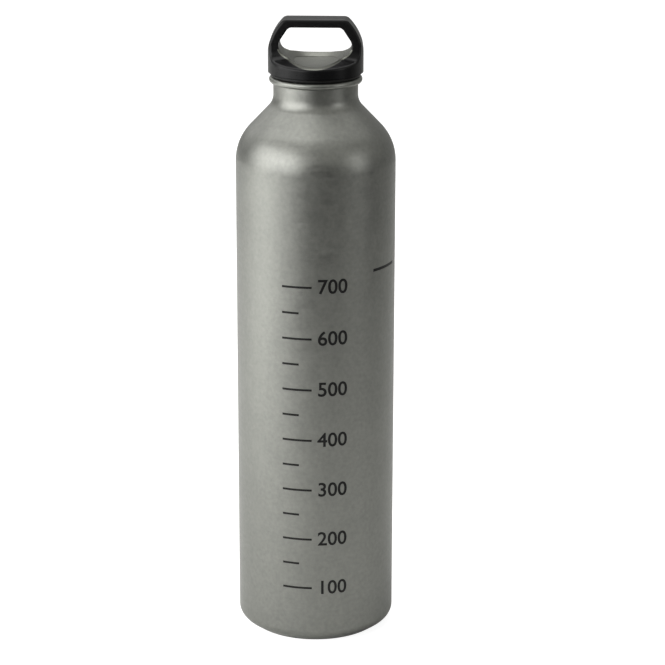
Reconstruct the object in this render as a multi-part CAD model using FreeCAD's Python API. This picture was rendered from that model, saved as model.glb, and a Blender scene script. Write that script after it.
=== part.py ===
import FreeCAD, Part
import math
import os

from FreeCAD import Vector

os.makedirs("parts", exist_ok=True)

# Bottle, in mm. The foot stands on z = 0 and Z is the axis of the bottle.
body_radius = 37.0
wall = 1.0
base_thickness = 1.8
foot_inner_radius = 27.0
foot_outer_radius = 31.4
foot_rounding = 0.6
heel_height = 4.0
heel_rounding = 5.2
dome_depth = 7.0
wall_height = 236.6
shoulder_angle = 43.6
shoulder_radius = 23.2
shoulder_wall = 1.3
neck_radius = 19.5
neck_fillet = 8.2
throat_fillet = 6.0
mouth_radius = 17.4
mouth_chamfer = 0.5

# Rolled lip at the top of the neck, which rises from the shoulder corner.
neck_rise = 30.3
lip_height = 3.1
lip_radius = 21.4
lip_rounding = 1.5

# Seal, squeezed between the lip and the flange of the cap.
seal_thickness = 1.95
seal_outer_radius = 20.7
seal_rounding = 0.9
seal_clearance = 0.3

# Core of the cap: threaded plug, body and dished saddle.
thread_clearance = 1.0
plug_length = 14.0
plug_chamfer = 0.8
plug_wall = 2.6
plug_roof = 2.4
plug_corner = 1.5
vent_width = 3.0
vent_depth = 1.2
vent_height = 11.0
core_radius = 20.2
grip_groove_depth = 1.8
grip_groove_height = 1.1
grip_groove_offset = 0.9
saddle_height = 5.2
saddle_radius = 30.0
saddle_edge = 0.8
saddle_horn_drop = 1.6
dish_depth = 1.4
dish_half_length = 14.6
dish_half_width = 9.9
dish_step = 0.15
dish_slope_run = 3.2

# Skirt and loop of the cap.
cap_radius = 21.9
loop_height = 24.6
side_height = 7.0
side_radius = 24.0
side_overhang = 0.08
loop_corner = 3.4
bar_depth = 12.0
bar_thickness = 3.7
leg_depth = 16.0
flank_drop = 0.65
flank_slope = 16.0
flank_blend = 5.0
flank_crown_radius = 108.0
window_half_width = 16.65
window_side_radius = 4.6
window_lean = 34.0
window_corner = 3.0
strap_rounding = 1.3
window_rounding = 0.6

# Helpers for cutting: how far a cutter runs past, and the angle at which an edge counts as sharp.
overlap = 1.0
flank_turn = 30.0
sharp_angle = 20.0

axis = Vector(0, 0, 1)
origin = Vector(0, 0, 0)
lip_top = wall_height + neck_rise
cap_base = lip_top + seal_thickness
cap_top = cap_base + loop_height
reach = 2.0 * cap_radius


def rounded_wire(corners):
    # Closed wire from (u, v, radius) corners in the XZ plane, each corner rounded by its radius.
    count = len(corners)
    ends = []
    for index in range(count):
        u, v, radius = corners[index]
        here = Vector(u, 0, v)
        before = Vector(corners[index - 1][0], 0, corners[index - 1][1])
        after = Vector(corners[(index + 1) % count][0], 0, corners[(index + 1) % count][1])
        if radius == 0:
            ends.append((here, None, here))
            continue
        back = (before - here).normalize()
        ahead = (after - here).normalize()
        half = 0.5 * back.getAngle(ahead)
        tangent = radius / math.tan(half)
        middle = (back + ahead).normalize()
        rim = here + middle * (radius / math.sin(half) - radius)
        ends.append((here + back * tangent, rim, here + ahead * tangent))
    edges = []
    for index in range(count):
        first, rim, last = ends[index]
        if rim is not None:
            edges.append(Part.Arc(first, rim, last).toShape())
        following = ends[(index + 1) % count][0]
        if last.distanceToPoint(following) > 1e-6:
            edges.append(Part.LineSegment(last, following).toShape())
    return Part.Wire(edges)


def turned(corners):
    return Part.Face(rounded_wire(corners)).revolve(origin, axis, 360)


def disc(radius, low, high):
    return Part.makeCylinder(radius, high - low, Vector(0, 0, low), axis)


def through_block(wire, top, corner):
    # Block along Y from a wire in the XZ plane, with the edges at its top rounded.
    block = Part.Face(wire).extrude(Vector(0, 2 * reach, 0))
    block.translate(Vector(0, -reach, 0))
    top_edges = []
    for edge in block.Edges:
        if edge.BoundBox.ZMin > top - 1e-4 and edge.BoundBox.YLength > reach:
            top_edges.append(edge)
    return block.makeFillet(corner, top_edges)


def mirrored(point):
    return Vector(-point.x, point.y, point.z)


def segment(first, last):
    return Part.LineSegment(first, last).toShape()


def arc(first, middle, last):
    return Part.Arc(first, middle, last).toShape()


def moved(shape, rise, turn):
    copy = shape.copy()
    copy.rotate(origin, axis, turn)
    copy.translate(Vector(0, 0, rise))
    return copy


def only_solid(shape):
    return max(shape.Solids, key=lambda solid: solid.Volume)


def sharp_edges(shape):
    # Edges in front of or behind the middle plane where two faces meet at a sharp angle.
    found = []
    for edge in shape.Edges:
        if edge.BoundBox.YMin * edge.BoundBox.YMax <= 0:
            continue
        point = edge.valueAt(0.5 * (edge.FirstParameter + edge.LastParameter))
        normals = []
        for face in shape.ancestorsOfType(edge, Part.Face):
            u, v = face.Surface.parameter(point)
            normals.append(face.normalAt(u, v))
        if len(normals) == 2 and math.degrees(normals[0].getAngle(normals[1])) > sharp_angle:
            found.append(edge)
    return found


# Bottle shell: a turned outside less a turned inside, with a domed base of even thickness.
tilt = math.tan(math.radians(shoulder_angle))
neck_foot = wall_height + (body_radius - neck_radius) / tilt
lip_foot = lip_top - lip_height
outside = turned([
    (0, 0, 0),
    (foot_outer_radius, 0, foot_rounding),
    (body_radius, heel_height, heel_rounding),
    (body_radius, wall_height, shoulder_radius),
    (neck_radius, neck_foot, neck_fillet),
    (neck_radius, lip_foot, 0),
    (lip_radius, lip_foot, lip_rounding),
    (lip_radius, lip_top, lip_rounding),
    (0, lip_top, 0),
])

heel_run = body_radius - foot_outer_radius
heel_slant = math.hypot(heel_run, heel_height)
inner_foot = foot_outer_radius + (base_thickness * heel_run - wall * heel_slant) / heel_height
inner_heel = heel_height + wall * (heel_slant - heel_height) / heel_run
inner_radius = body_radius - wall
shoulder_set_back = shoulder_wall / math.cos(math.radians(shoulder_angle))
cone_radius = body_radius - shoulder_set_back
inner_shoulder = wall_height + (cone_radius - inner_radius) / tilt
throat_foot = wall_height + (cone_radius - mouth_radius) / tilt
inside = turned([
    (0, base_thickness, 0),
    (inner_foot, base_thickness, foot_rounding),
    (inner_radius, inner_heel, heel_rounding - wall),
    (inner_radius, inner_shoulder, shoulder_radius - wall),
    (mouth_radius, throat_foot, throat_fillet),
    (mouth_radius, lip_top - mouth_chamfer, 0),
    (mouth_radius + mouth_chamfer, lip_top, 0),
    (0, lip_top, 0),
])

dome_radius = (foot_inner_radius ** 2 + dome_depth ** 2) / (2.0 * dome_depth)
dome_centre = Vector(0, 0, dome_depth - dome_radius)
dome = Part.makeSphere(dome_radius, dome_centre)
inner_dome = Part.makeSphere(dome_radius + base_thickness, dome_centre)
bottle_shell = only_solid(outside.cut(dome).cut(inside.cut(inner_dome)))

# Seal ring with a round outer edge.
plug_radius = mouth_radius - thread_clearance
seal_inner_radius = plug_radius + seal_clearance
seal_ring = turned([
    (seal_inner_radius, lip_top, 0),
    (seal_outer_radius, lip_top, seal_rounding),
    (seal_outer_radius, cap_base, seal_rounding),
    (seal_inner_radius, cap_base, 0),
])

# Side outline of the loop: bowed sides up to a flat bar.
side_z = cap_base + side_height
side_edge = cap_radius + side_overhang
side_centre = side_edge - side_radius
side_turn = math.asin((cap_top - side_z) / side_radius)


def side_point(turn):
    return Vector(side_centre + side_radius * math.cos(turn), 0, side_z + side_radius * math.sin(turn))


foot_corner = Vector(side_edge, 0, cap_base - overlap)
side_low = side_point(0)
side_middle = side_point(0.5 * side_turn)
side_high = side_point(side_turn)
outline = Part.Wire([
    segment(foot_corner, side_low),
    arc(side_low, side_middle, side_high),
    segment(side_high, mirrored(side_high)),
    arc(mirrored(side_high), mirrored(side_middle), mirrored(side_low)),
    segment(mirrored(side_low), mirrored(foot_corner)),
    segment(mirrored(foot_corner), foot_corner),
])
outline_block = through_block(outline, cap_top, loop_corner)

# Flanks: front and back slope up from the skirt, then turn up into the faces of the legs and the bar.
# Each is turned about a line along Y below the cap, so that it falls away towards the sides.
saddle_z = cap_base + saddle_height
flank_foot = saddle_z - flank_drop
slope = math.tan(math.radians(flank_slope))
leg_foot = flank_foot + slope * (cap_radius - 0.5 * leg_depth)
face_lean = 0.5 * (leg_depth - bar_depth) / (cap_top - leg_foot)
flank_over = 0.4 * loop_height
flank_face = Part.Face(rounded_wire([
    (cap_radius + reach, flank_foot - slope * reach, 0),
    (0.5 * leg_depth, leg_foot, flank_blend),
    (0.5 * bar_depth - face_lean * flank_over, cap_top + flank_over, 0),
    (cap_radius + reach, cap_top + flank_over, 0),
]))
flank_face.rotate(origin, axis, -90)
crown_centre = Vector(0, 0, saddle_z - flank_crown_radius)
flank_face.rotate(crown_centre, Vector(0, 1, 0), -0.5 * flank_turn)
front_flank = flank_face.revolve(crown_centre, Vector(0, 1, 0), flank_turn)
back_flank = front_flank.mirror(origin, Vector(0, 1, 0))

# Window of the loop: a saddle arc below, round sides that lean inward above, and a flat top.
side_arc_x = window_half_width - window_side_radius
arc_gap = saddle_radius - window_side_radius
side_arc_z = saddle_z + saddle_radius - math.sqrt(arc_gap ** 2 - side_arc_x ** 2)
joint_turn = math.asin(side_arc_x / arc_gap) - 0.5 * math.pi
lean = math.radians(window_lean)


def window_block(margin):
    # The window grown by a margin all round, as a block along Y.
    radius = window_side_radius + margin
    top = cap_top - bar_thickness + margin

    def side(turn):
        return Vector(side_arc_x + radius * math.cos(turn), 0, side_arc_z + radius * math.sin(turn))

    bottom = Vector(0, 0, saddle_z - margin)
    joint = side(joint_turn)
    widest = side(0.5 * (joint_turn + lean))
    bend = side(lean)
    head = Vector(bend.x - (top - bend.z) * math.tan(lean), 0, top)
    wire = Part.Wire([
        arc(mirrored(joint), bottom, joint),
        arc(joint, widest, bend),
        segment(bend, head),
        segment(head, mirrored(head)),
        segment(mirrored(head), mirrored(bend)),
        arc(mirrored(bend), mirrored(widest), mirrored(joint)),
    ])
    return through_block(wire, top, window_corner)


window = window_block(0)
window_skin = window_block(saddle_edge)

# Outer form of the cap: round skirt, outline, flanks and window, with its edges rounded.
cap_form = disc(cap_radius, cap_base, cap_top + overlap).common(outline_block)
cap_form = only_solid(cap_form.cut(front_flank).cut(back_flank))
cap_form = cap_form.makeFillet(strap_rounding, sharp_edges(cap_form))
cap_form = only_solid(cap_form.cut(window))
cap_form = cap_form.makeFillet(window_rounding, sharp_edges(cap_form))


def oval(margin):
    ellipse = Part.Ellipse(Vector(0, 0, cap_base), dish_half_length + margin, dish_half_width + margin)
    ellipse.XAxis = Vector(0, 1, 0)
    return Part.Face(Part.Wire(ellipse.toShape())).extrude(Vector(0, 0, loop_height))


# Core: saddle sheet edge to edge in the window, bowl under the dish, and a body with a grip groove.
below_horns = disc(reach, cap_base, side_arc_z - saddle_horn_drop)
sheet = cap_form.common(window_skin).common(below_horns)
bowl = oval(saddle_edge + dish_slope_run).common(moved(window_skin, -dish_depth, 0))
bowl = bowl.common(below_horns).cut(window)
groove_low = cap_base + grip_groove_offset
groove_high = groove_low + grip_groove_height
groove = disc(reach, groove_low, groove_high)
groove = groove.cut(disc(core_radius - grip_groove_depth, groove_low, groove_high))
core_body = disc(core_radius, cap_base, saddle_z - 0.5 * saddle_edge).cut(groove)
core_envelope = core_body.fuse(bowl).fuse(sheet).removeSplitter()
dish = oval(0).common(moved(window, -dish_depth, 0))

# Plug below the core: hollow from below, with vent slots across the thread.
plug_bottom = lip_top - plug_length
plug = disc(plug_radius, plug_bottom, cap_base)
plug_rim = [edge for edge in plug.Edges if edge.BoundBox.ZMax < plug_bottom + 1e-4]
plug = plug.makeChamfer(plug_chamfer, plug_rim)
hollow = turned([
    (0, plug_bottom - overlap, 0),
    (plug_radius - plug_wall, plug_bottom - overlap, 0),
    (plug_radius - plug_wall, cap_base - plug_roof, plug_corner),
    (0, cap_base - plug_roof, 0),
])
vent_corner = Vector(-0.5 * vent_width, plug_radius - vent_depth, plug_bottom - overlap)
vent = Part.makeBox(vent_width, vent_depth + overlap, vent_height + overlap, vent_corner)
cap_core = core_envelope.fuse(plug).cut(hollow).cut(dish)
for turn in (0, 180):
    cap_core = cap_core.cut(moved(vent, 0, turn))
cap_core = only_solid(cap_core.removeSplitter())

# The wall of the dish slopes out from a low step at its foot.
dish_rim = []
for edge in cap_core.Edges:
    box = edge.BoundBox
    if abs(box.YLength - 2 * dish_half_length) < 0.01 and box.ZMin > saddle_z - 0.5 * dish_depth:
        dish_rim.append(edge)
cap_core = only_solid(cap_core.makeChamfer(dish_slope_run, dish_depth - dish_step, dish_rim))

# Handle: skirt and loop, moulded round the core.
cap_handle = only_solid(cap_form.cut(core_envelope))

pieces = {
    "bottle_shell": bottle_shell,
    "seal_ring": seal_ring,
    "cap_core": cap_core,
    "cap_handle": cap_handle,
}
for name, shape in pieces.items():
    shape.exportStep("parts/" + name + ".step")
    print(name, shape.isValid(), round(shape.Volume, 1))
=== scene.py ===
import bmesh
import bpy
import math
from mathutils import Matrix, Vector


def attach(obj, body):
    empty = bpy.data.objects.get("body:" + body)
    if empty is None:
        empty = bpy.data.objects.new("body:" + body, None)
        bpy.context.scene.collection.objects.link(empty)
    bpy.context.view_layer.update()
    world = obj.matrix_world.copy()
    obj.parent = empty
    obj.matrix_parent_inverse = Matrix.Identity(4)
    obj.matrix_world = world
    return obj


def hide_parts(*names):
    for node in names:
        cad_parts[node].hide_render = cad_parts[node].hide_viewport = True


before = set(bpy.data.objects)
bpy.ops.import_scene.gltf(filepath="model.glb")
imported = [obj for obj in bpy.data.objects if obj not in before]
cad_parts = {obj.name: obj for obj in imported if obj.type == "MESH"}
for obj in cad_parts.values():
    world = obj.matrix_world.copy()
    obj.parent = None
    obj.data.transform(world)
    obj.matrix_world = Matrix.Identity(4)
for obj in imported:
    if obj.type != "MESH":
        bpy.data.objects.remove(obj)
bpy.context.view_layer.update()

scene = bpy.context.scene
print("frame loaded:", ", ".join(sorted(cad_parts)))


def hexToLinear(code):
    channels = [int(code[i:i + 2], 16) / 255 for i in (1, 3, 5)]
    return [c / 12.92 if c <= 0.04045 else ((c + 0.055) / 1.055) ** 2.4 for c in channels] + [1.0]


def perMm(size):
    return 1000.0 / size  # texture scale for a pattern this many mm across, on coordinates in metres


def addNode(tree, kind, inputs=None, **settings):
    node = tree.nodes.new(kind)
    for name, value in settings.items():
        setattr(node, name, value)
    for name, value in (inputs or {}).items():
        if isinstance(value, bpy.types.NodeSocket):
            tree.links.new(value, node.inputs[name])
        else:
            node.inputs[name].default_value = value
    return node


def newMaterial(name):
    material = bpy.data.materials.new(name)
    material.use_nodes = True
    material.node_tree.nodes.clear()
    return material, material.node_tree


# Camera: 1.12 m in front and 0.49 m up, tilted down, a little to the right of square on to the loop.
camera = {"distance": 1.1245, "height": 0.4889, "tilt": 17.07, "azimuth": 2.7, "lens": 134.8, "sensor": 36,
          "shift": 0.0252, "clip": 0.05}
turn = math.radians(camera["azimuth"])
cameraData = bpy.data.cameras.new("camera")
cameraData.lens = camera["lens"]
cameraData.sensor_width = camera["sensor"]
cameraData.shift_x = camera["shift"]
cameraData.clip_start = camera["clip"]
cameraObject = bpy.data.objects.new("camera", cameraData)
cameraObject.location = (camera["distance"] * math.sin(turn), -camera["distance"] * math.cos(turn), camera["height"])
cameraObject.rotation_euler = (math.radians(90 - camera["tilt"]), 0, turn)
scene.collection.objects.link(cameraObject)
scene.camera = cameraObject
scene.view_settings.view_transform = "Standard"
print("camera placed")

# Pale table and soft studio light: a large box on the left, weak ones on the right and behind, and one overhead.
studio = {
    "floor": "#D8D8D6", "floorSeen": "#959594", "glowSeen": 0.92, "glowMirrored": 0.06,
    "table": {"left": -1.2, "right": 0.6, "front": -0.45, "back": 5.0},
    "roomLow": "#525251", "roomHigh": "#C8C8C4", "roomBack": "#A2A2A0", "fill": "#5A5A58",
    "highFrom": 0.0, "highTo": 0.45, "backFrom": -0.1, "backTo": 0.6,  # how far up or back one looks, from -1 to 1
    "lights": [
        # name, place, aim, width, height, watts, mirrored in the metal
        ("leftBox", (-1.05, -0.63, 0.54), (0, 0, 0.2), 1.9, 1.0, 21.3, True),
        ("leftPaper", (-0.85, -0.40, 0.50), (-0.85, -0.40, 0), 0.5, 1.3, 18, False),
        ("rightBox", (1.2, -0.55, 0.45), (0, 0, 0.15), 0.4, 0.7, 2.0, True),
        ("topBox", (-0.2, 0.68, 1.45), (-0.15, 0.63, 0.2), 2.0, 1.8, 25, True),
        ("backBox", (-1.0, 1.15, 0.85), (0, 0, 0.25), 0.9, 0.7, 1.8, True),
    ],
}
for name, spot, aim, width, height, watts, inMetal in studio["lights"]:
    lamp = bpy.data.lights.new(name, "AREA")
    lamp.shape = "RECTANGLE"
    lamp.size = width
    lamp.size_y = height
    lamp.energy = watts
    lampObject = bpy.data.objects.new(name, lamp)
    lampObject.location = spot
    lampObject.rotation_euler = (Vector(aim) - Vector(spot)).to_track_quat("-Z", "Y").to_euler()
    lampObject.visible_glossy = inMetal
    scene.collection.objects.link(lampObject)

# The room in front is dark below and paler above, with a pale wall behind the table. The camera sees it all white.
room = bpy.data.worlds.new("studioRoom")
room.use_nodes = True
tree = room.node_tree
tree.nodes.clear()
path = addNode(tree, "ShaderNodeLightPath")
facing = addNode(tree, "ShaderNodeTexCoord")
axes = addNode(tree, "ShaderNodeSeparateXYZ", {"Vector": facing.outputs["Generated"]})
behind = addNode(tree, "ShaderNodeMapRange", {"Value": axes.outputs["Y"], "From Min": studio["backFrom"],
                                              "From Max": studio["backTo"]}, interpolation_type="SMOOTHSTEP")
above = addNode(tree, "ShaderNodeMapRange", {"Value": axes.outputs["Z"], "From Min": studio["highFrom"],
                                             "From Max": studio["highTo"]}, interpolation_type="SMOOTHSTEP")
front = addNode(tree, "ShaderNodeMix", {0: above.outputs[0], 6: hexToLinear(studio["roomLow"]),
                                        7: hexToLinear(studio["roomHigh"])}, data_type="RGBA")
walls = addNode(tree, "ShaderNodeMix", {0: behind.outputs[0], 6: front.outputs[2],
                                        7: hexToLinear(studio["roomBack"])}, data_type="RGBA")
mirrored = addNode(tree, "ShaderNodeMix", {0: path.outputs["Is Glossy Ray"], 6: hexToLinear(studio["fill"]),
                                           7: walls.outputs[2]}, data_type="RGBA")
seen = addNode(tree, "ShaderNodeMath", {0: path.outputs["Is Camera Ray"], 1: path.outputs["Is Transmission Ray"]},
               operation="MAXIMUM")
backdrop = addNode(tree, "ShaderNodeMix", {0: seen.outputs[0], 6: mirrored.outputs[2], 7: (1, 1, 1, 1)},
                   data_type="RGBA")
background = addNode(tree, "ShaderNodeBackground", {"Color": backdrop.outputs[2]})
addNode(tree, "ShaderNodeOutputWorld", {"Surface": background.outputs[0]})
scene.world = room

# The table is white paper: white to the eye, less the object's shadow, and as the lamps light it in reflections.
floorMaterial, tree = newMaterial("whitePaper")
path = addNode(tree, "ShaderNodeLightPath")
seen = addNode(tree, "ShaderNodeMath", {0: path.outputs["Is Camera Ray"], 1: path.outputs["Is Transmission Ray"]},
               operation="MAXIMUM")
mirrored = addNode(tree, "ShaderNodeMath", {0: path.outputs["Is Glossy Ray"], 1: studio["glowMirrored"]},
                   operation="MULTIPLY")
glow = addNode(tree, "ShaderNodeMath", {0: seen.outputs[0], 1: studio["glowSeen"], 2: mirrored.outputs[0]},
               operation="MULTIPLY_ADD")
light = addNode(tree, "ShaderNodeEmission", {"Strength": glow.outputs[0]})
paper = addNode(tree, "ShaderNodeMix", {0: seen.outputs[0], 6: hexToLinear(studio["floor"]),
                                        7: hexToLinear(studio["floorSeen"])}, data_type="RGBA")
shaded = addNode(tree, "ShaderNodeBsdfDiffuse", {"Color": paper.outputs[2]})
lit = addNode(tree, "ShaderNodeAddShader", {0: shaded.outputs[0], 1: light.outputs[0]})
addNode(tree, "ShaderNodeOutputMaterial", {"Surface": lit.outputs[0]})

bm = bmesh.new()
table = studio["table"]
bmesh.ops.create_grid(bm, x_segments=1, y_segments=1, size=0.5)
bmesh.ops.scale(bm, vec=(table["right"] - table["left"], table["back"] - table["front"], 1), verts=bm.verts)
bmesh.ops.translate(bm, vec=((table["right"] + table["left"]) / 2, (table["back"] + table["front"]) / 2, 0),
                    verts=bm.verts)
floorMesh = bpy.data.meshes.new("floor")
bm.to_mesh(floorMesh)
bm.free()
floorMesh.materials.append(floorMaterial)
floor = bpy.data.objects.new("floor", floorMesh)
scene.collection.objects.link(floor)
print("studio set")

mergeGap = 1e-4  # mm, points nearer than this become one
seamGap = 1e-3  # mm, the same where two drawn lines meet


def drawTo(bm, pen, point):
    pen = bmesh.ops.extrude_vert_indiv(bm, verts=[pen])["verts"][0]
    pen.co = point
    return pen


def drawProfile(bm, corners, stepAngle=3.0, guard=0.4):
    # Corners are (radius, height, rounding) in mm. The pen runs straight to each bend and is spun round it.
    # A guard point near each end of a run keeps its shading straight.
    points = [Vector((r, 0, z)) for r, z, rounding in corners]
    pen = bm.verts.new(points[0])
    for i in range(1, len(points)):
        start, here = pen.co.copy(), points[i]
        rounding = corners[i][2] if i + 1 < len(points) else 0
        back = (points[i - 1] - here).normalized()
        end = here
        if rounding:
            ahead = (points[i + 1] - here).normalized()
            half = back.angle(ahead) / 2
            end = here + back * rounding / math.tan(half)
        if (end - start).length > 4 * guard:
            pen = drawTo(bm, pen, start - back * guard)
            pen = drawTo(bm, pen, end + back * guard)
        if (end - start).length > mergeGap:
            pen = drawTo(bm, pen, end)
        if rounding:
            centre = here + (back + ahead).normalized() * rounding / math.sin(half)
            bend = math.pi - 2 * half
            steps = max(3, math.ceil(math.degrees(bend) / stepAngle))
            spun = bmesh.ops.spin(bm, geom=[pen], cent=centre, axis=ahead.cross(back).normalized(),
                                  dvec=(0, 0, 0), angle=bend, steps=steps)
            pen = spun["geom_last"][0]


def turnRound(bm, segments):
    bmesh.ops.remove_doubles(bm, verts=bm.verts, dist=seamGap)
    bmesh.ops.spin(bm, geom=bm.verts[:] + bm.edges[:], cent=(0, 0, 0), axis=(0, 0, 1), dvec=(0, 0, 0),
                   angle=math.tau, steps=segments, use_merge=True)
    bmesh.ops.remove_doubles(bm, verts=bm.verts, dist=mergeGap)
    bmesh.ops.recalc_face_normals(bm, faces=bm.faces)


def makePiece(bm, name, body, material, creaseAngle=32):
    # The bmesh is in mm. The object stays at the origin, and its place is in its mesh.
    bmesh.ops.scale(bm, vec=(0.001, 0.001, 0.001), verts=bm.verts)
    mesh = bpy.data.meshes.new(name)
    bm.to_mesh(mesh)
    bm.free()
    mesh.shade_smooth()
    mesh.set_sharp_from_angle(angle=math.radians(creaseAngle))
    mesh.materials.append(material)
    piece = bpy.data.objects.new(name, mesh)
    scene.collection.objects.link(piece)
    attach(piece, body)
    return piece


noiseLow, noiseHigh = 0.3, 0.7  # nearly all values of a noise pattern lie between these

# Bead-blasted and hard-anodised aluminium: grey with a warm cast, a soft broad sheen and a fine even sparkle.
# The grain of the blasting is about 0.1 mm and is drawn at 0.5 mm, so that it shows. So are the faint rings that
# turning left under it, at 0.6 mm. Shares say how much of a finer or broader pattern is mixed in.
satin = {"color": "#878883", "shade": "#7A7B77", "rubbed": "#A9AAA6", "roughness": 0.42, "spread": 0.07,
         "grain": 0.5, "depth": 0.012, "bump": 0.5, "ring": 0.6, "ringStretch": 0.04, "ringShare": 0.5,
         "dapple": 1.8, "workedShare": 0.4, "cloud": 5.0, "mottle": 16.0, "mottleShare": 0.5, "broadShare": 0.35,
         "toneLow": 0.38, "toneHigh": 0.62, "rubTop": 1.2, "rubFull": 0.2, "rubLow": 0.38, "rubHigh": 0.55,
         "handled": 0.018, "handLow": 0.35, "handHigh": 0.65}
satinAluminium, tree = newMaterial("satinAnodisedAluminium")
coords = addNode(tree, "ShaderNodeTexCoord")
place = coords.outputs["Object"]
grain = addNode(tree, "ShaderNodeTexNoise", {"Vector": place, "Scale": perMm(satin["grain"]), "Detail": 3.0})
cloud = addNode(tree, "ShaderNodeTexNoise", {"Vector": place, "Scale": perMm(satin["cloud"]), "Detail": 4.0})
mottle = addNode(tree, "ShaderNodeTexNoise", {"Vector": place, "Scale": perMm(satin["mottle"]), "Detail": 3.0})
flat = addNode(tree, "ShaderNodeVectorMath", {0: place, 1: (satin["ringStretch"], satin["ringStretch"], 1.0)},
               operation="MULTIPLY")
rings = addNode(tree, "ShaderNodeTexNoise", {"Vector": flat.outputs[0], "Scale": perMm(satin["ring"]), "Detail": 3.0})
worked = addNode(tree, "ShaderNodeMix", {0: satin["ringShare"], 2: grain.outputs[0], 3: rings.outputs[0]})
dapple = addNode(tree, "ShaderNodeTexNoise", {"Vector": place, "Scale": perMm(satin["dapple"]), "Detail": 3.0})
fine = addNode(tree, "ShaderNodeMix", {0: satin["workedShare"], 2: dapple.outputs[0], 3: worked.outputs[0]})
broad = addNode(tree, "ShaderNodeMix", {0: satin["mottleShare"], 2: cloud.outputs[0], 3: mottle.outputs[0]})
blend = addNode(tree, "ShaderNodeMix", {0: satin["broadShare"], 2: fine.outputs[0], 3: broad.outputs[0]})
tone = addNode(tree, "ShaderNodeMapRange", {"Value": blend.outputs[0], "From Min": satin["toneLow"],
                                            "From Max": satin["toneHigh"]})
metal = addNode(tree, "ShaderNodeMix", {0: tone.outputs[0], 6: hexToLinear(satin["shade"]),
                                        7: hexToLinear(satin["color"])}, data_type="RGBA")
# The foot is rubbed bright in patches where it stands.
axes = addNode(tree, "ShaderNodeSeparateXYZ", {"Vector": place})
foot = addNode(tree, "ShaderNodeMapRange", {"Value": axes.outputs["Z"], "From Min": satin["rubTop"] / 1000,
                                            "From Max": satin["rubFull"] / 1000})
patchy = addNode(tree, "ShaderNodeMapRange", {"Value": mottle.outputs[0], "From Min": satin["rubLow"],
                                              "From Max": satin["rubHigh"]})
rub = addNode(tree, "ShaderNodeMath", {0: foot.outputs[0], 1: patchy.outputs[0]}, operation="MULTIPLY")
skin = addNode(tree, "ShaderNodeMix", {0: rub.outputs[0], 6: metal.outputs[2],
                                       7: hexToLinear(satin["rubbed"])}, data_type="RGBA")
grit = addNode(tree, "ShaderNodeMapRange", {"Value": worked.outputs[0], "From Min": noiseLow, "From Max": noiseHigh,
                                            "To Min": satin["roughness"] - satin["spread"],
                                            "To Max": satin["roughness"] + satin["spread"]})
hands = addNode(tree, "ShaderNodeMapRange", {"Value": cloud.outputs[0], "From Min": satin["handLow"],
                                             "From Max": satin["handHigh"], "To Min": -satin["handled"],
                                             "To Max": satin["handled"]})
rough = addNode(tree, "ShaderNodeMath", {0: grit.outputs[0], 1: hands.outputs[0]}, operation="ADD")
bump = addNode(tree, "ShaderNodeBump", {"Strength": satin["bump"], "Distance": satin["depth"] / 1000,
                                        "Height": worked.outputs[0]})
surface = addNode(tree, "ShaderNodeBsdfPrincipled", {"Base Color": skin.outputs[2], "Metallic": 1.0,
                                                     "Roughness": rough.outputs[0], "Normal": bump.outputs[0]})
addNode(tree, "ShaderNodeOutputMaterial", {"Surface": surface.outputs[0]})

# Bottle: one turned profile, out over the foot and up to the lip, then down the inside to the domed base.
bottleDims = {"radius": 37.0, "wall": 1.0, "base": 1.8, "footIn": 27.0, "footOut": 31.4, "footRound": 0.6,
              "heel": 4.0, "heelRound": 5.2, "dome": 7.0, "wallTop": 236.6, "shoulderAngle": 43.6,
              "shoulderRound": 23.2, "shoulderWall": 1.3, "neck": 19.5, "neckRound": 8.2, "throatRound": 6.0,
              "mouth": 17.4, "chamfer": 0.5, "lipTop": 266.9, "lipHeight": 3.1, "lip": 21.4, "lipRound": 1.5,
              "domeSteps": 14, "segments": 256}
d = bottleDims
slope = math.tan(math.radians(d["shoulderAngle"]))
coneRadius = d["radius"] - d["shoulderWall"] / math.cos(math.radians(d["shoulderAngle"]))
insideRadius = d["radius"] - d["wall"]
domeRadius = (d["footIn"] ** 2 + d["dome"] ** 2) / (2 * d["dome"])
domeCentre = d["dome"] - domeRadius
lipFoot = d["lipTop"] - d["lipHeight"]
heelRun = d["radius"] - d["footOut"]
heelSlant = math.hypot(heelRun, d["heel"])
insideFoot = d["footOut"] + (d["base"] * heelRun - d["wall"] * heelSlant) / d["heel"]
insideHeel = d["heel"] + d["wall"] * (heelSlant - d["heel"]) / heelRun

bm = bmesh.new()
# Outer dome from its middle to the foot.
pole = bm.verts.new((0, 0, d["dome"]))
outerAngle = math.asin(d["footIn"] / domeRadius)
bmesh.ops.spin(bm, geom=[pole], cent=(0, 0, domeCentre), axis=(0, 1, 0), dvec=(0, 0, 0), angle=outerAngle,
               steps=d["domeSteps"])
drawProfile(bm, [
    (d["footIn"], 0, 0),
    (d["footOut"], 0, d["footRound"]),
    (d["radius"], d["heel"], d["heelRound"]),
    (d["radius"], d["wallTop"], d["shoulderRound"]),
    (d["neck"], d["wallTop"] + (d["radius"] - d["neck"]) / slope, d["neckRound"]),
    (d["neck"], lipFoot, 0),
    (d["lip"], lipFoot, d["lipRound"]),
    (d["lip"], d["lipTop"], d["lipRound"]),
    (d["mouth"] + d["chamfer"], d["lipTop"], 0),
    (d["mouth"], d["lipTop"] - d["chamfer"], 0),
    (d["mouth"], d["wallTop"] + (coneRadius - d["mouth"]) / slope, d["throatRound"]),
    (insideRadius, d["wallTop"] + (coneRadius - insideRadius) / slope, d["shoulderRound"] - d["wall"]),
    (insideRadius, insideHeel, d["heelRound"] - d["wall"]),
    (insideFoot, d["base"], d["footRound"]),
    (math.sqrt((domeRadius + d["base"]) ** 2 - (d["base"] - domeCentre) ** 2), d["base"], 0),
])
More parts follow.
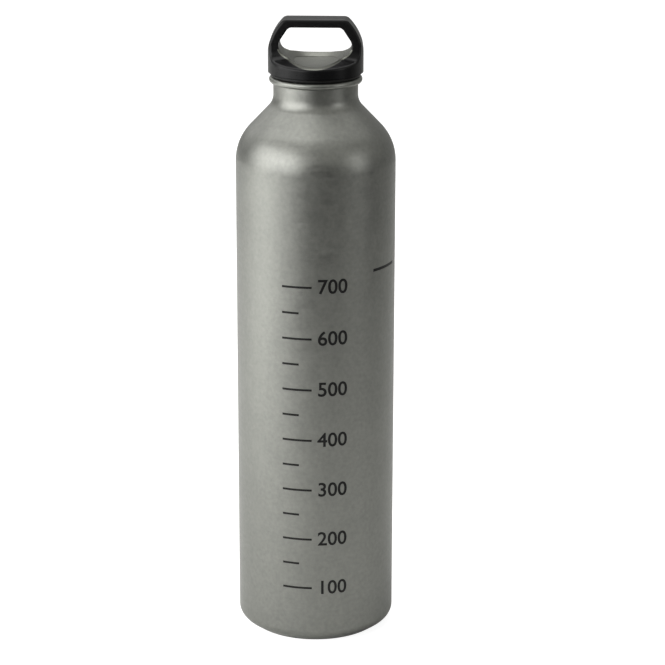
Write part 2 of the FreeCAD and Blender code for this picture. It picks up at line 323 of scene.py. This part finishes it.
# Inner dome, the base's thickness above the outer one.
pole = bm.verts.new((0, 0, d["dome"] + d["base"]))
innerAngle = math.acos((d["base"] - domeCentre) / (domeRadius + d["base"]))
bmesh.ops.spin(bm, geom=[pole], cent=(0, 0, domeCentre), axis=(0, 1, 0), dvec=(0, 0, 0), angle=innerAngle,
               steps=d["domeSteps"])
turnRound(bm, d["segments"])
bottle = makePiece(bm, "bottle", "bottle", satinAluminium)
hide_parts("bottle_shell")
print("bottle turned:", len(bottle.data.polygons), "faces")


def makeThread(bm, ridge, turnFrom, turnTo):
    # One ridge along a right-handed helix, from one angle to another. Its foot is sunk into the wall behind it.
    up = ridge["pitch"] / 360.0
    steps = max(2, math.ceil((turnTo - turnFrom) / ridge["stepAngle"]))
    corners = [(ridge["foot"], -ridge["halfFoot"]), (ridge["crest"], -ridge["halfCrest"]),
               (ridge["crest"], ridge["halfCrest"]), (ridge["foot"], ridge["halfFoot"])]
    pen = first = bm.verts.new((corners[0][0], 0, corners[0][1]))
    for r, z in corners[1:]:
        pen = drawTo(bm, pen, (r, 0, z))
    bm.edges.new((pen, first))
    ring = [v for v in bm.verts if not v.tag]
    ringEdges = [e for e in bm.edges if not e.verts[0].tag]
    bmesh.ops.rotate(bm, verts=ring, cent=(0, 0, 0), matrix=Matrix.Rotation(math.radians(turnFrom), 3, "Z"))
    bmesh.ops.translate(bm, verts=ring, vec=(0, 0, bottleDims["lipTop"] - ridge["below"] + up * turnFrom))
    bmesh.ops.spin(bm, geom=ring + ringEdges, cent=(0, 0, 0), axis=(0, 0, 1),
                   dvec=(0, 0, up * (turnTo - turnFrom) / steps), angle=math.radians(turnTo - turnFrom), steps=steps)
    bmesh.ops.holes_fill(bm, edges=[e for e in bm.edges if e.is_boundary], sides=4)
    for vert in bm.verts:
        vert.tag = True  # the next ridge leaves this one alone


# Thread in the mouth: nearly three turns of a rolled ridge, seen when the cap is off.
mouthThread = {"pitch": 3.0, "below": 11.3, "turns": 2.9, "foot": 17.5, "crest": 16.78,
               "halfFoot": 0.85, "halfCrest": 0.28, "stepAngle": 5.0}
bm = bmesh.new()
makeThread(bm, mouthThread, 0, 360 * mouthThread["turns"])
bmesh.ops.recalc_face_normals(bm, faces=bm.faces)
makePiece(bm, "mouthThread", "bottle", satinAluminium)
print("mouth thread rolled")

# Screen-printed ink: flat black, a little dull, and thin enough to follow the metal under it.
ink = {"color": "#040404", "thin": "#0A0A0A", "roughness": 0.45, "ior": 1.5, "specular": 0.25,
       "patch": 1.2, "thinLow": 0.5, "thinHigh": 0.75}
printedInk, tree = newMaterial("screenPrintedInk")
coords = addNode(tree, "ShaderNodeTexCoord")
patch = addNode(tree, "ShaderNodeTexNoise", {"Vector": coords.outputs["Object"], "Scale": perMm(ink["patch"]),
                                             "Detail": 3.0})
cover = addNode(tree, "ShaderNodeMapRange", {"Value": patch.outputs[0], "From Min": ink["thinLow"],
                                             "From Max": ink["thinHigh"]})
skin = addNode(tree, "ShaderNodeMix", {0: cover.outputs[0], 6: hexToLinear(ink["color"]),
                                       7: hexToLinear(ink["thin"])}, data_type="RGBA")
surface = addNode(tree, "ShaderNodeBsdfPrincipled", {"Base Color": skin.outputs[2], "Roughness": ink["roughness"],
                                                     "IOR": ink["ior"], "Specular IOR Level": ink["specular"]})
addNode(tree, "ShaderNodeOutputMaterial", {"Surface": surface.outputs[0]})

# Level marks: a scale in millilitres on the front, each tick at its true height, and a fill line on the right.
marks = {"zero": 4.2, "perMillilitre": 0.24561, "first": 100, "last": 700, "step": 50, "numberEvery": 100,
         "azimuth": 5.7, "left": -17.8, "longTick": 14.0, "shortTick": 8.0, "tickHeight": 1.0, "gap": 2.6,
         "numeral": 9.5, "bold": 0.14, "curveSteps": 5, "outlineGap": 0.05, "proud": 0.04, "sunk": 0.03,
         "fillFrom": 48.2, "fillTo": 76.5, "fillZ": 181.3, "fillHeight": 1.3, "cutReach": 30, "cutGap": 0.01}
wallRadius = bottleDims["radius"]
inkDepth = marks["proud"] + marks["sunk"]


def printOnWall(whole, part, azimuth, height):
    # Bends a flat print, x across, y up and z out in mm, onto the wall. Azimuth runs from the front to the right.
    # It is cut at every millimetre first, so that it follows the curve.
    for x in range(-marks["cutReach"], marks["cutReach"] + 1):
        bmesh.ops.bisect_plane(part, geom=part.verts[:] + part.edges[:] + part.faces[:], dist=marks["cutGap"],
                               plane_co=(x, 0, 0), plane_no=(1, 0, 0))
    for vert in part.verts:
        angle = math.radians(azimuth) + vert.co.x / wallRadius
        radius = wallRadius + vert.co.z
        vert.co = (radius * math.sin(angle), -radius * math.cos(angle), height + vert.co.y)
    mesh = bpy.data.meshes.new("print")
    part.to_mesh(mesh)
    part.free()
    whole.from_mesh(mesh)
    bpy.data.meshes.remove(mesh)


def addBar(whole, width, height, centre, azimuth, z):
    bar = bmesh.new()
    bmesh.ops.create_cube(bar, size=1)
    bmesh.ops.scale(bar, vec=(width, height, inkDepth), verts=bar.verts)
    bmesh.ops.translate(bar, vec=(centre, 0, inkDepth / 2 - marks["sunk"]), verts=bar.verts)
    printOnWall(whole, bar, azimuth, z)


def addNumber(whole, number, left, azimuth, z):
    curve = bpy.data.curves.new("number", "FONT")
    curve.body = str(number)
    curve.size = marks["numeral"]
    curve.align_x = "LEFT"
    curve.align_y = "CENTER"
    curve.resolution_u = marks["curveSteps"]
    curve.fill_mode = "NONE"
    holder = bpy.data.objects.new("number", curve)
    mesh = bpy.data.meshes.new_from_object(holder)
    bpy.data.objects.remove(holder)
    bpy.data.curves.remove(curve)
    flat = bmesh.new()
    flat.from_mesh(mesh)
    bpy.data.meshes.remove(mesh)
    bmesh.ops.remove_doubles(flat, verts=flat.verts, dist=marks["outlineGap"])
    # The outline is filled once to tell inside from outside, moved out by the added weight, and filled again.
    outward = Vector((0, 0, 1))
    bmesh.ops.triangle_fill(flat, use_beauty=True, edges=flat.edges, normal=outward)
    moves = []
    for vert in flat.verts:
        rims = [edge.link_loops[0] for edge in vert.link_edges if edge.is_boundary]
        a, b = [(rim.link_loop_next.vert.co - rim.vert.co).cross(outward).normalized() for rim in rims]
        moves.append((a + b) / (1 + a.dot(b)) * marks["bold"])
    bmesh.ops.delete(flat, geom=[edge for edge in flat.edges if not edge.is_boundary], context="EDGES")
    for vert, move in zip(flat.verts, moves):
        vert.co += move
    bmesh.ops.triangle_fill(flat, use_beauty=True, edges=flat.edges, normal=outward)
    grown = bmesh.ops.extrude_face_region(flat, geom=flat.faces[:])["geom"]
    bmesh.ops.translate(flat, vec=outward * inkDepth,
                        verts=[part for part in grown if isinstance(part, bmesh.types.BMVert)])
    bmesh.ops.translate(flat, vec=(left, 0, -marks["sunk"]), verts=flat.verts)
    printOnWall(whole, flat, azimuth, z)


bm = bmesh.new()
for level in range(marks["first"], marks["last"] + 1, marks["step"]):
    z = marks["zero"] + marks["perMillilitre"] * level
    numbered = level % marks["numberEvery"] == 0
    length = marks["longTick"] if numbered else marks["shortTick"]
    addBar(bm, length, marks["tickHeight"], marks["left"] + length / 2, marks["azimuth"], z)
    if numbered:
        addNumber(bm, level, marks["left"] + length + marks["gap"], marks["azimuth"], z)
fillWidth = math.radians(marks["fillTo"] - marks["fillFrom"]) * wallRadius
addBar(bm, fillWidth, marks["fillHeight"], 0, (marks["fillFrom"] + marks["fillTo"]) / 2, marks["fillZ"])
bmesh.ops.recalc_face_normals(bm, faces=bm.faces)
levelMarks = makePiece(bm, "levelMarks", "bottle", printedInk)
print("level marks printed:", len(levelMarks.data.polygons), "faces")

# Nitrile rubber: black, dull, and slightly dusty.
rubber = {"color": "#030303", "dust": "#080808", "roughness": 0.50, "ior": 1.52, "specular": 0.2,
          "grain": 0.25, "depth": 0.02, "bump": 0.3}
nitrileRubber, tree = newMaterial("nitrileRubber")
coords = addNode(tree, "ShaderNodeTexCoord")
grain = addNode(tree, "ShaderNodeTexNoise", {"Vector": coords.outputs["Object"], "Scale": perMm(rubber["grain"]),
                                             "Detail": 2.0})
skin = addNode(tree, "ShaderNodeMix", {0: grain.outputs[0], 6: hexToLinear(rubber["color"]),
                                       7: hexToLinear(rubber["dust"])}, data_type="RGBA")
bump = addNode(tree, "ShaderNodeBump", {"Strength": rubber["bump"], "Distance": rubber["depth"] / 1000,
                                        "Height": grain.outputs[0]})
surface = addNode(tree, "ShaderNodeBsdfPrincipled", {"Base Color": skin.outputs[2], "Roughness": rubber["roughness"],
                                                     "IOR": rubber["ior"], "Specular IOR Level": rubber["specular"],
                                                     "Normal": bump.outputs[0]})
addNode(tree, "ShaderNodeOutputMaterial", {"Surface": surface.outputs[0]})

# Seal ring between the lip and the cap.
sealDims = {"inside": 16.7, "outside": 20.7, "height": 1.95, "round": 0.9, "innerRound": 0.2, "stepAngle": 9,
            "segments": 192}
d = sealDims
low = bottleDims["lipTop"]
high = low + d["height"]
middle = (d["inside"] + d["outside"]) / 2
bm = bmesh.new()
drawProfile(bm, [
    (middle, low, 0),
    (d["outside"], low, d["round"]),
    (d["outside"], high, d["round"]),
    (d["inside"], high, d["innerRound"]),
    (d["inside"], low, d["innerRound"]),
    (middle, low, 0),
], stepAngle=d["stepAngle"])
turnRound(bm, d["segments"])
seal = makePiece(bm, "seal", "seal", nitrileRubber)
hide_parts("seal_ring")
print("seal turned")

# Glass-filled nylon, moulded in a spark-eroded tool: near black, a fine even texture, and a soft sheen at an angle.
# The texture is about 0.1 mm and is drawn at 0.4 mm, so that it shows.
nylon = {"color": "#040405", "worn": "#080809", "roughness": 0.32, "spread": 0.05, "ior": 1.53, "specular": 0.2,
         "texture": 0.4, "depth": 0.014, "bump": 0.5, "patch": 9.0}
mouldedNylon, tree = newMaterial("mouldedNylon")
coords = addNode(tree, "ShaderNodeTexCoord")
texture = addNode(tree, "ShaderNodeTexNoise", {"Vector": coords.outputs["Object"],
                                               "Scale": perMm(nylon["texture"]), "Detail": 3.0})
patches = addNode(tree, "ShaderNodeTexNoise", {"Vector": coords.outputs["Object"], "Scale": perMm(nylon["patch"]),
                                               "Detail": 3.0})
skin = addNode(tree, "ShaderNodeMix", {0: patches.outputs[0], 6: hexToLinear(nylon["color"]),
                                       7: hexToLinear(nylon["worn"])}, data_type="RGBA")
rough = addNode(tree, "ShaderNodeMapRange", {"Value": texture.outputs[0], "From Min": noiseLow, "From Max": noiseHigh,
                                             "To Min": nylon["roughness"] - nylon["spread"],
                                             "To Max": nylon["roughness"] + nylon["spread"]})
bump = addNode(tree, "ShaderNodeBump", {"Strength": nylon["bump"], "Distance": nylon["depth"] / 1000,
                                        "Height": texture.outputs[0]})
surface = addNode(tree, "ShaderNodeBsdfPrincipled", {"Base Color": skin.outputs[2], "Roughness": rough.outputs[0],
                                                     "IOR": nylon["ior"], "Specular IOR Level": nylon["specular"],
                                                     "Normal": bump.outputs[0]})
addNode(tree, "ShaderNodeOutputMaterial", {"Surface": surface.outputs[0]})

# Die-cast and anodised aluminium of the plug: duller and a little darker than the bottle.
cast = {"color": "#72736D", "shade": "#686963", "roughness": 0.42, "spread": 0.07, "grain": 0.3, "depth": 0.01,
        "bump": 0.4, "mottle": 7.0}
castAluminium, tree = newMaterial("castAnodisedAluminium")
coords = addNode(tree, "ShaderNodeTexCoord")
grain = addNode(tree, "ShaderNodeTexNoise", {"Vector": coords.outputs["Object"], "Scale": perMm(cast["grain"]),
                                             "Detail": 3.0})
mottle = addNode(tree, "ShaderNodeTexNoise", {"Vector": coords.outputs["Object"], "Scale": perMm(cast["mottle"]),
                                              "Detail": 3.0})
skin = addNode(tree, "ShaderNodeMix", {0: mottle.outputs[0], 6: hexToLinear(cast["shade"]),
                                       7: hexToLinear(cast["color"])}, data_type="RGBA")
rough = addNode(tree, "ShaderNodeMapRange", {"Value": grain.outputs[0], "From Min": noiseLow, "From Max": noiseHigh,
                                             "To Min": cast["roughness"] - cast["spread"],
                                             "To Max": cast["roughness"] + cast["spread"]})
bump = addNode(tree, "ShaderNodeBump", {"Strength": cast["bump"], "Distance": cast["depth"] / 1000,
                                        "Height": grain.outputs[0]})
surface = addNode(tree, "ShaderNodeBsdfPrincipled", {"Base Color": skin.outputs[2], "Metallic": 1.0,
                                                     "Roughness": rough.outputs[0], "Normal": bump.outputs[0]})
addNode(tree, "ShaderNodeOutputMaterial", {"Surface": surface.outputs[0]})

# Thread on the plug: half-turns between the two vent slots, half a pitch from the ridge in the mouth.
plugThread = {"pitch": 3.0, "below": 12.8, "rows": 6, "ventAt": 90, "ventGap": 7.0, "foot": 16.3, "crest": 17.02,
              "halfFoot": 0.85, "halfCrest": 0.28, "stepAngle": 5.0}
bm = bmesh.new()
for row in range(plugThread["rows"]):
    vent = plugThread["ventAt"] + 180 * row
    makeThread(bm, plugThread, vent + plugThread["ventGap"], vent + 180 - plugThread["ventGap"])
bmesh.ops.recalc_face_normals(bm, faces=bm.faces)
makePiece(bm, "plugThread", "cap", castAluminium)
print("plug thread cut")

for node, material in (("cap_handle", mouldedNylon), ("cap_core", castAluminium)):
    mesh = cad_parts[node].data
    mesh.materials.clear()
    mesh.materials.append(material)
print("cap finished")
